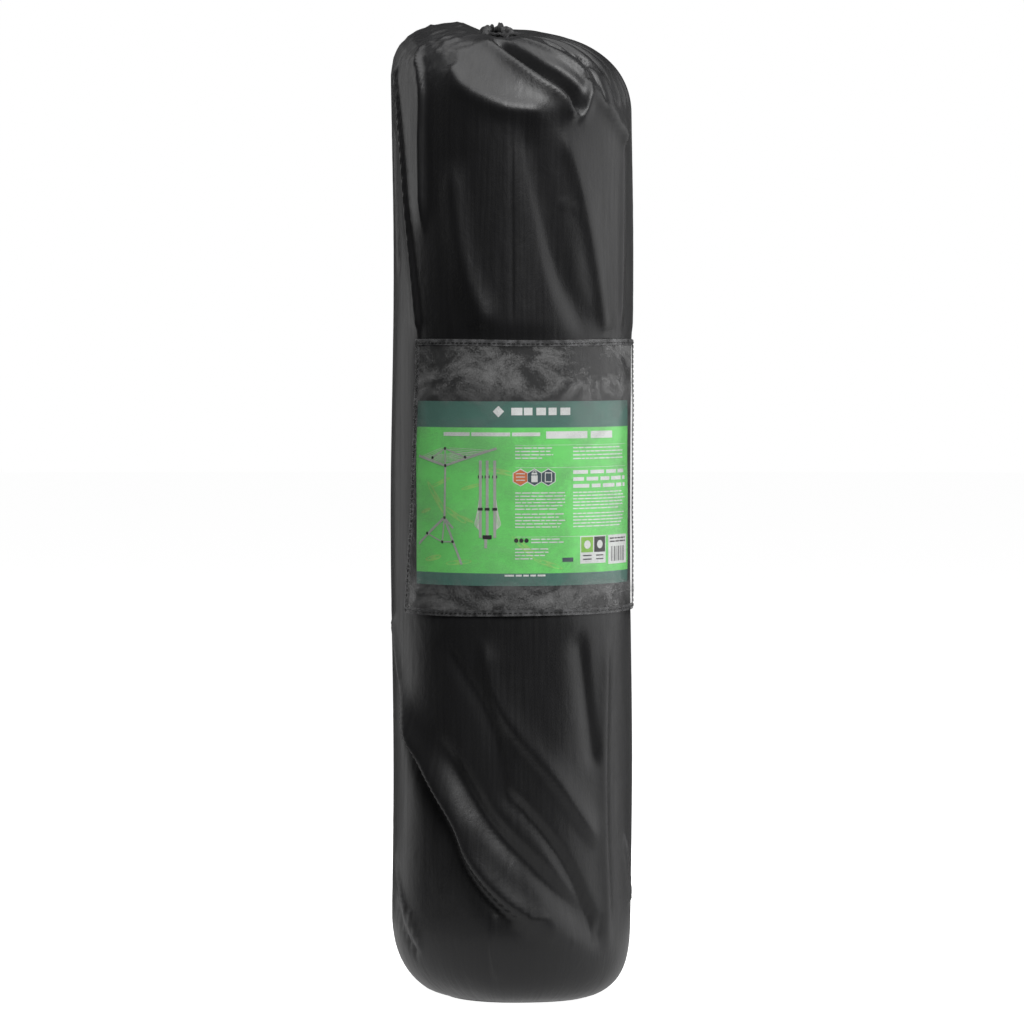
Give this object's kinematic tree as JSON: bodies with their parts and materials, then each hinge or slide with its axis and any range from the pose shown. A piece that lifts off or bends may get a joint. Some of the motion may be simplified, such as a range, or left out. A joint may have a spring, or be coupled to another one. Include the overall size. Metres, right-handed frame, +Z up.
{
  "type": "folding rotary clothesline in its carry bag",
  "caption": "Folding rotary clothesline packed in a black drawstring bag with a clear label pocket; three arms with lines open on a tripod stand.",
  "frame": {"origin": "centre of the underside of the packed bag", "axes": "+Z up along the bag, -Y the way the label pocket faces, +X to the right seen from the front"},
  "size_m": [0.1981, 0.1981, 0.8],
  "materials": {
    "bag_fabric": "satin",
    "base_fabric": "matte",
    "cord": "matte",
    "clear_film": "gloss",
    "card": "satin",
    "aluminium": "brushed",
    "steel": "satin",
    "black_plastic": "satin",
    "rubber": "matte",
    "line": "satin"
  },
  "bodies": {
    "bag": {"bag_base": "base_fabric", "bag_body": "bag_fabric", "mouth_hem": "bag_fabric", "drawcord": "cord", "label_pocket": "clear_film", "label_card": "card"},
    "stand_mast": {"stand_mast": "aluminium", "mast_spigot": "black_plastic", "stand_hub": "black_plastic", "stand_hub_rivets": "steel"},
    "leg_runner": {"leg_runner": "black_plastic", "leg_runner_rivets": "steel"},
    "head_mast": {"head_mast": "aluminium", "mast_cap": "black_plastic", "top_hub": "black_plastic", "top_hub_rivets": "steel"},
    "arm_runner": {"arm_runner": "black_plastic", "arm_runner_rivets": "steel"},
    "leg_1": {"leg_1": "aluminium", "leg_brackets_1": "black_plastic", "foot_1": "rubber"},
    "leg_strut_1": {"leg_strut_1": "aluminium"},
    "arm_1": {"arm_1": "aluminium", "arm_brackets_1": "black_plastic", "arm_tip_1": "black_plastic"},
    "arm_strut_1": {"arm_strut_1": "aluminium"},
    "line_1_1_left": {"line_1_1_left": "line"},
    "line_1_1_right": {"line_1_1_right": "line"},
    "line_1_2_left": {"line_1_2_left": "line"},
    "line_1_2_right": {"line_1_2_right": "line"},
    "line_1_3_left": {"line_1_3_left": "line"},
    "line_1_3_right": {"line_1_3_right": "line"},
    "leg_2": {"leg_2": "aluminium", "leg_brackets_2": "black_plastic", "foot_2": "rubber"},
    "leg_strut_2": {"leg_strut_2": "aluminium"},
    "arm_2": {"arm_2": "aluminium", "arm_brackets_2": "black_plastic", "arm_tip_2": "black_plastic"},
    "arm_strut_2": {"arm_strut_2": "aluminium"},
    "line_2_1_left": {"line_2_1_left": "line"},
    "line_2_1_right": {"line_2_1_right": "line"},
    "line_2_2_left": {"line_2_2_left": "line"},
    "line_2_2_right": {"line_2_2_right": "line"},
    "line_2_3_left": {"line_2_3_left": "line"},
    "line_2_3_right": {"line_2_3_right": "line"},
    "leg_3": {"leg_3": "aluminium", "leg_brackets_3": "black_plastic", "foot_3": "rubber"},
    "leg_strut_3": {"leg_strut_3": "aluminium"},
    "arm_3": {"arm_3": "aluminium", "arm_brackets_3": "black_plastic", "arm_tip_3": "black_plastic"},
    "arm_strut_3": {"arm_strut_3": "aluminium"},
    "line_3_1_left": {"line_3_1_left": "line"},
    "line_3_1_right": {"line_3_1_right": "line"},
    "line_3_2_left": {"line_3_2_left": "line"},
    "line_3_2_right": {"line_3_2_right": "line"},
    "line_3_3_left": {"line_3_3_left": "line"},
    "line_3_3_right": {"line_3_3_right": "line"}
  },
  "joints": [
    {"name": "set_up", "type": "hinge", "parent": "stand_mast", "child": "head_mast", "pos_m": [0, 0, 0.725], "axis": [0, -1, 0], "range_deg": [0, 180], "deforming": ["bag_body", "mouth_hem", "drawcord", "label_pocket", "label_card"]},
    {"name": "stand_lowers", "type": "slide", "parent": "bag", "child": "stand_mast", "axis": [0, 0, -1], "range_m": [0, 0.06261]},
    {"name": "leg_strut_1_swings", "type": "hinge", "parent": "stand_mast", "child": "leg_strut_1", "pos_m": [-0.027, 0, 0.147], "axis": [0, 1, 0], "range_deg": [0, 45]},
    {"name": "leg_1_opens", "type": "hinge", "parent": "leg_strut_1", "child": "leg_1", "pos_m": [-0.027, 0, 0.362], "axis": [0, -1, 0], "range_deg": [0, 90]},
    {"name": "leg_runner_slides", "type": "hinge", "parent": "leg_1", "child": "leg_runner", "pos_m": [-0.027, 0, 0.577], "axis": [0, 1, 0], "range_deg": [0, 45]},
    {"name": "leg_strut_2_swings", "type": "hinge", "parent": "stand_mast", "child": "leg_strut_2", "pos_m": [-0.0555, 0.01645, 0.147], "axis": [-0.866, -0.5, 0], "range_deg": [0, 45]},
    {"name": "leg_2_opens", "type": "hinge", "parent": "leg_strut_2", "child": "leg_2", "pos_m": [-0.0555, 0.01645, 0.362], "axis": [0.866, 0.5, 0], "range_deg": [0, 90]},
    {"name": "leg_strut_3_swings", "type": "hinge", "parent": "stand_mast", "child": "leg_strut_3", "pos_m": [-0.0555, -0.01645, 0.147], "axis": [0.866, -0.5, 0], "range_deg": [0, 45]},
    {"name": "leg_3_opens", "type": "hinge", "parent": "leg_strut_3", "child": "leg_3", "pos_m": [-0.0555, -0.01645, 0.362], "axis": [-0.866, 0.5, 0], "range_deg": [0, 90]},
    {"name": "arm_strut_1_swings", "type": "hinge", "parent": "head_mast", "child": "arm_strut_1", "pos_m": [0.0285, 0, 0.146], "axis": [0, -1, 0], "range_deg": [0, 68]},
    {"name": "arm_1_opens", "type": "hinge", "parent": "arm_strut_1", "child": "arm_1", "pos_m": [0.0285, 0, 0.393], "axis": [0, 1, 0], "range_deg": [0, 136]},
    {"name": "arm_runner_slides", "type": "hinge", "parent": "arm_1", "child": "arm_runner", "pos_m": [0.0285, 0, 0.64], "axis": [0, -1, 0], "range_deg": [0, 68]},
    {"name": "arm_strut_2_swings", "type": "hinge", "parent": "head_mast", "child": "arm_strut_2", "pos_m": [0.05475, -0.01516, 0.146], "axis": [0.866, 0.5, 0], "range_deg": [0, 68]},
    {"name": "arm_2_opens", "type": "hinge", "parent": "arm_strut_2", "child": "arm_2", "pos_m": [0.05475, -0.01516, 0.393], "axis": [-0.866, -0.5, 0], "range_deg": [0, 136]},
    {"name": "arm_strut_3_swings", "type": "hinge", "parent": "head_mast", "child": "arm_strut_3", "pos_m": [0.05475, 0.01516, 0.146], "axis": [-0.866, 0.5, 0], "range_deg": [0, 68]},
    {"name": "arm_3_opens", "type": "hinge", "parent": "arm_strut_3", "child": "arm_3", "pos_m": [0.05475, 0.01516, 0.393], "axis": [0.866, -0.5, 0], "range_deg": [0, 136]},
    {"name": "line_1_1_left_spreads", "type": "hinge", "parent": "arm_1", "child": "line_1_1_left", "pos_m": [0.02212, -0.01174, 0.31], "axis": [0.8389, 0.5443, 0], "range_deg": [0, 36.59]},
    {"name": "line_1_1_right_spreads", "type": "hinge", "parent": "arm_1", "child": "line_1_1_right", "pos_m": [0.01969, 0.01332, 0.31], "axis": [-0.8389, 0.5443, 0], "range_deg": [0, 36.59]},
    {"name": "line_1_2_left_spreads", "type": "hinge", "parent": "arm_1", "child": "line_1_2_left", "pos_m": [0.01725, -0.0149, 0.184], "axis": [0.8389, 0.5443, 0], "range_deg": [0, 36.59]},
    {"name": "line_1_2_right_spreads", "type": "hinge", "parent": "arm_1", "child": "line_1_2_right", "pos_m": [0.01482, 0.01648, 0.184], "axis": [-0.8389, 0.5443, 0], "range_deg": [0, 36.59]},
    {"name": "line_1_3_left_spreads", "type": "hinge", "parent": "arm_1", "child": "line_1_3_left", "pos_m": [0.01239, -0.01806, 0.058], "axis": [0.8389, 0.5443, 0], "range_deg": [0, 36.59]},
    {"name": "line_1_3_right_spreads", "type": "hinge", "parent": "arm_1", "child": "line_1_3_right", "pos_m": [0.00996, 0.01964, 0.058], "axis": [-0.8389, 0.5443, 0], "range_deg": [0, 36.59]},
    {"name": "line_2_1_left_spreads", "type": "hinge", "parent": "arm_2", "child": "line_2_1_left", "pos_m": [0.06811, -0.01481, 0.31], "axis": [-0.8908, 0.4543, 0], "range_deg": [0, 36.59]},
    {"name": "line_2_1_right_spreads", "type": "hinge", "parent": "arm_2", "child": "line_2_1_right", "pos_m": [0.04762, -0.02945, 0.31], "axis": [-0.0519, -0.9987, 0], "range_deg": [0, 36.59]},
    {"name": "line_2_2_left_spreads", "type": "hinge", "parent": "arm_2", "child": "line_2_2_left", "pos_m": [0.07328, -0.01744, 0.184], "axis": [-0.8908, 0.4543, 0], "range_deg": [0, 36.59]},
    {"name": "line_2_2_right_spreads", "type": "hinge", "parent": "arm_2", "child": "line_2_2_right", "pos_m": [0.04732, -0.03524, 0.184], "axis": [-0.0519, -0.9987, 0], "range_deg": [0, 36.59]},
    {"name": "line_2_3_left_spreads", "type": "hinge", "parent": "arm_2", "child": "line_2_3_left", "pos_m": [0.07844, -0.02008, 0.058], "axis": [-0.8908, 0.4543, 0], "range_deg": [0, 36.59]},
    {"name": "line_2_3_right_spreads", "type": "hinge", "parent": "arm_2", "child": "line_2_3_right", "pos_m": [0.04702, -0.04103, 0.058], "axis": [-0.0519, -0.9987, 0], "range_deg": [0, 36.59]},
    {"name": "line_3_1_left_spreads", "type": "hinge", "parent": "arm_3", "child": "line_3_1_left", "pos_m": [0.04777, 0.02655, 0.31], "axis": [0.0519, -0.9987, 0], "range_deg": [0, 36.59]},
    {"name": "line_3_1_right_spreads", "type": "hinge", "parent": "arm_3", "child": "line_3_1_right", "pos_m": [0.07069, 0.01613, 0.31], "axis": [0.8908, 0.4543, 0], "range_deg": [0, 36.59]},
    {"name": "line_3_2_left_spreads", "type": "hinge", "parent": "arm_3", "child": "line_3_2_left", "pos_m": [0.04747, 0.03234, 0.184], "axis": [0.0519, -0.9987, 0], "range_deg": [0, 36.59]},
    {"name": "line_3_2_right_spreads", "type": "hinge", "parent": "arm_3", "child": "line_3_2_right", "pos_m": [0.07586, 0.01876, 0.184], "axis": [0.8908, 0.4543, 0], "range_deg": [0, 36.59]},
    {"name": "line_3_3_left_spreads", "type": "hinge", "parent": "arm_3", "child": "line_3_3_left", "pos_m": [0.04717, 0.03814, 0.058], "axis": [0.0519, -0.9987, 0], "range_deg": [0, 36.59]},
    {"name": "line_3_3_right_spreads", "type": "hinge", "parent": "arm_3", "child": "line_3_3_right", "pos_m": [0.08103, 0.0214, 0.058], "axis": [0.8908, 0.4543, 0], "range_deg": [0, 36.59]}
  ],
  "couplings": [
    {"joint": "stand_lowers", "follows": "set_up", "m_per_rad": 0.019929},
    {"joint": "leg_strut_1_swings", "follows": "set_up", "ratio": 0.25},
    {"joint": "leg_1_opens", "follows": "set_up", "ratio": 0.5},
    {"joint": "leg_runner_slides", "follows": "set_up", "ratio": 0.25},
    {"joint": "leg_strut_2_swings", "follows": "set_up", "ratio": 0.25},
    {"joint": "leg_2_opens", "follows": "set_up", "ratio": 0.5},
    {"joint": "leg_strut_3_swings", "follows": "set_up", "ratio": 0.25},
    {"joint": "leg_3_opens", "follows": "set_up", "ratio": 0.5},
    {"joint": "arm_strut_1_swings", "follows": "set_up", "ratio": 0.37778},
    {"joint": "arm_1_opens", "follows": "set_up", "ratio": 0.75556},
    {"joint": "arm_runner_slides", "follows": "set_up", "ratio": 0.37778},
    {"joint": "arm_strut_2_swings", "follows": "set_up", "ratio": 0.37778},
    {"joint": "arm_2_opens", "follows": "set_up", "ratio": 0.75556},
    {"joint": "arm_strut_3_swings", "follows": "set_up", "ratio": 0.37778},
    {"joint": "arm_3_opens", "follows": "set_up", "ratio": 0.75556},
    {"joint": "line_1_1_left_spreads", "follows": "set_up", "ratio": 0.20325},
    {"joint": "line_1_1_right_spreads", "follows": "set_up", "ratio": 0.20325},
    {"joint": "line_1_2_left_spreads", "follows": "set_up", "ratio": 0.20325},
    {"joint": "line_1_2_right_spreads", "follows": "set_up", "ratio": 0.20325},
    {"joint": "line_1_3_left_spreads", "follows": "set_up", "ratio": 0.20325},
    {"joint": "line_1_3_right_spreads", "follows": "set_up", "ratio": 0.20325},
    {"joint": "line_2_1_left_spreads", "follows": "set_up", "ratio": 0.20325},
    {"joint": "line_2_1_right_spreads", "follows": "set_up", "ratio": 0.20325},
    {"joint": "line_2_2_left_spreads", "follows": "set_up", "ratio": 0.20325},
    {"joint": "line_2_2_right_spreads", "follows": "set_up", "ratio": 0.20325},
    {"joint": "line_2_3_left_spreads", "follows": "set_up", "ratio": 0.20325},
    {"joint": "line_2_3_right_spreads", "follows": "set_up", "ratio": 0.20325},
    {"joint": "line_3_1_left_spreads", "follows": "set_up", "ratio": 0.20325},
    {"joint": "line_3_1_right_spreads", "follows": "set_up", "ratio": 0.20325},
    {"joint": "line_3_2_left_spreads", "follows": "set_up", "ratio": 0.20325},
    {"joint": "line_3_2_right_spreads", "follows": "set_up", "ratio": 0.20325},
    {"joint": "line_3_3_left_spreads", "follows": "set_up", "ratio": 0.20325},
    {"joint": "line_3_3_right_spreads", "follows": "set_up", "ratio": 0.20325}
  ]
}
